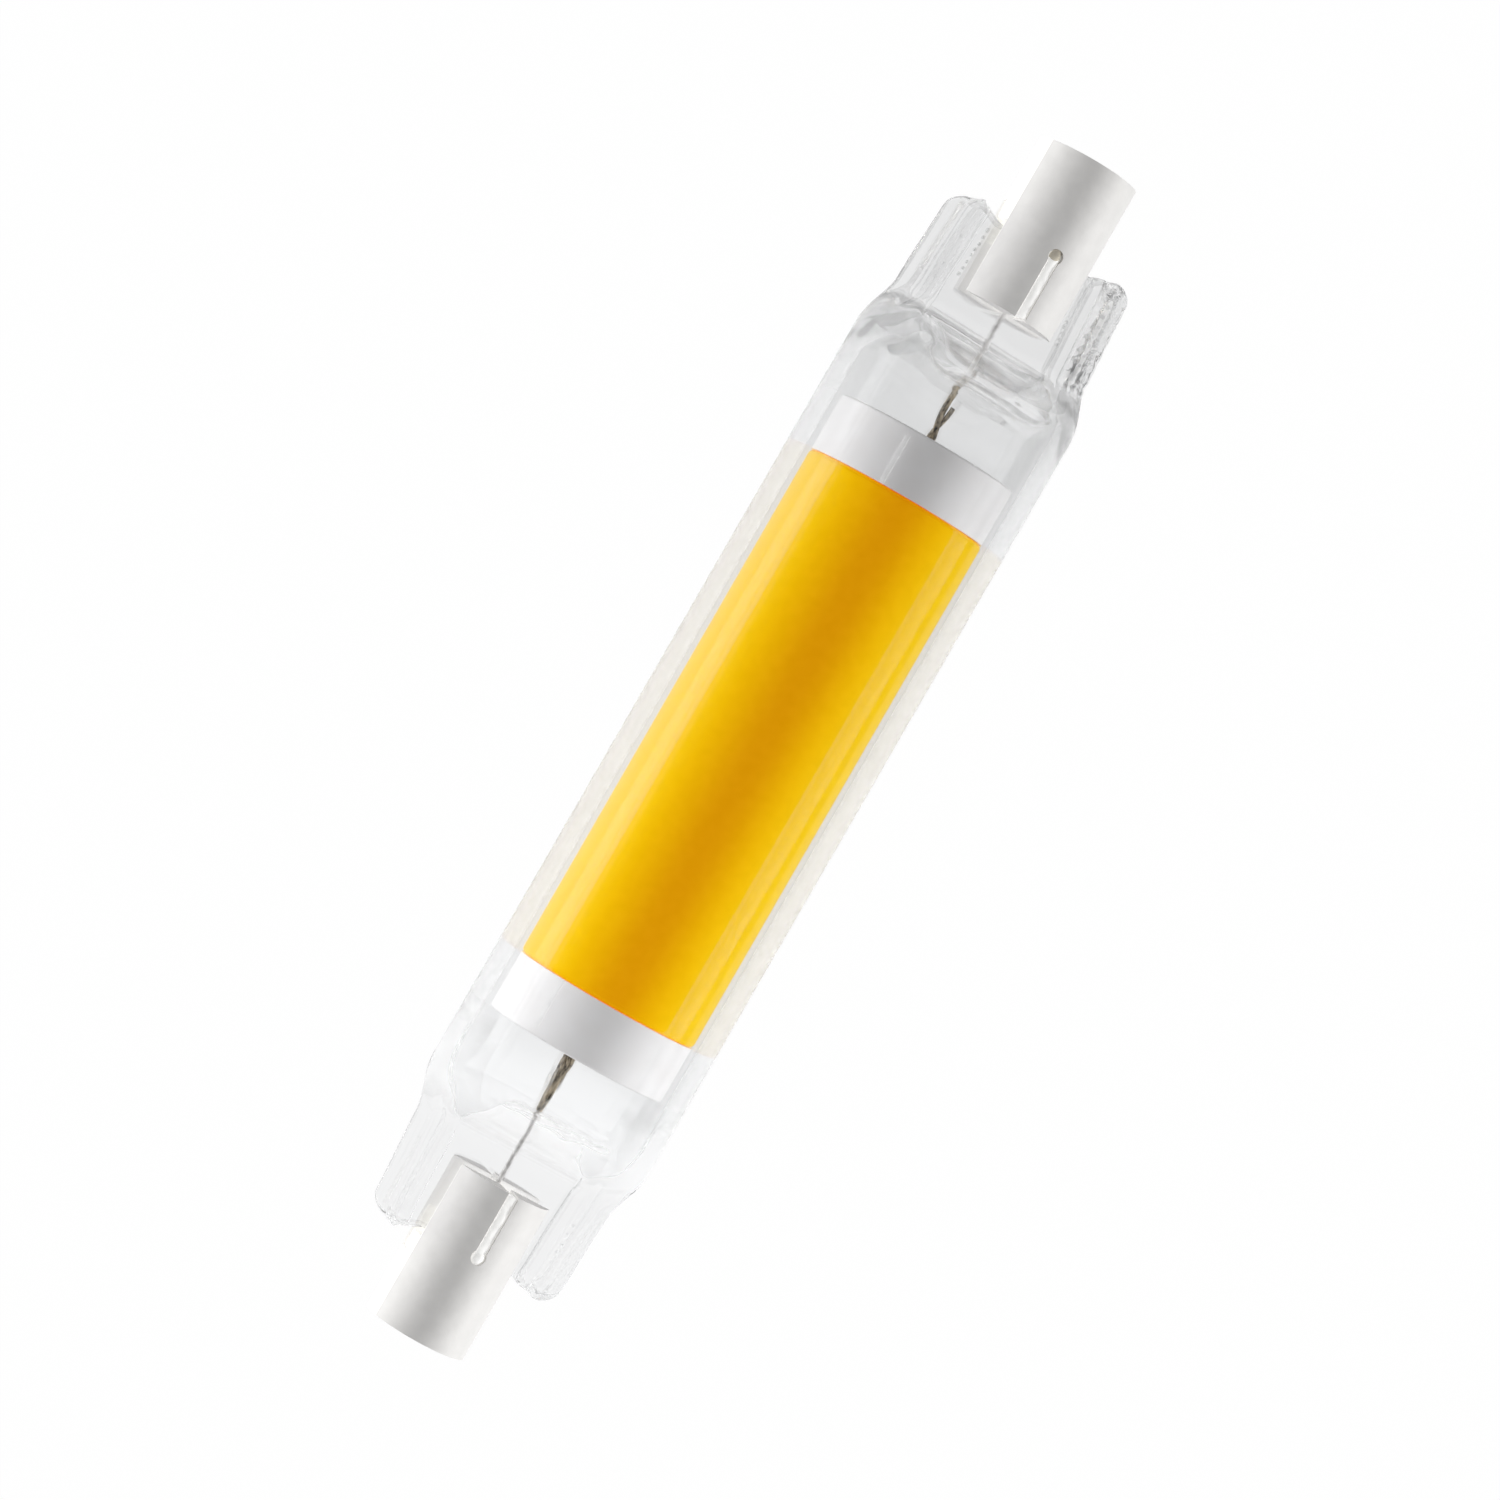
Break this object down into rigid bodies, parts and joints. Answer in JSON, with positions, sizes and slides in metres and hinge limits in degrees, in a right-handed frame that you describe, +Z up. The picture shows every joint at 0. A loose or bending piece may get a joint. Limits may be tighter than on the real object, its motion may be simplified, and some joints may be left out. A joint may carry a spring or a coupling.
{
  "type": "linear led bulb",
  "caption": "Two-ended linear lamp: clear glass tube pressed flat at both ends, slotted ceramic end caps with recessed contacts, and a yellow coated light tube inside.",
  "frame": {"origin": "centre of the glass tube, half way along the lamp", "axes": "+X along the lamp towards the end with the twin lead, +Z up, with the flat press seals in the XY plane; the lamp lies on its side"},
  "size_m": [0.078, 0.0144, 0.0144],
  "materials": {
    "clear_glass": "clear, fire polished",
    "cap_ceramic": "unglazed pressed steatite",
    "contact_metal": "plated",
    "cement": "dull",
    "tube_ceramic": "smooth white",
    "coating_yellow": "satin",
    "chip_face": "gloss",
    "lead_metal": "drawn",
    "solder_metal": "bright",
    "board_laminate": "matt",
    "case_black": "matt",
    "can_metal": "satin",
    "fuse_lacquer": "lacquered"
  },
  "bodies": {
    "root": {"board_pads": "solder_metal", "cap_cement_left": "cement", "cap_cement_right": "cement", "cap_left": "cap_ceramic", "cap_right": "cap_ceramic", "capacitor": "can_metal", "contact_left": "contact_metal", "contact_right": "contact_metal", "driver_board": "board_laminate", "driver_chip_case": "case_black", "driver_chip_legs": "solder_metal", "end_disc_left": "tube_ceramic", "end_disc_right": "tube_ceramic", "feed_line_left": "tube_ceramic", "feed_line_right": "tube_ceramic", "fuse_body": "fuse_lacquer", "fuse_caps": "solder_metal", "glass_envelope": "clear_glass", "lead_left": "lead_metal", "lead_right": "lead_metal", "light_chips": "chip_face", "light_coating": "coating_yellow", "light_tube": "tube_ceramic", "rectifier_case": "case_black", "rectifier_legs": "solder_metal", "seal_wire_left": "lead_metal", "seal_wire_right": "lead_metal", "sense_resistors": "case_black", "solder_left": "solder_metal", "solder_right": "solder_metal"}
  },
  "joints": []
}
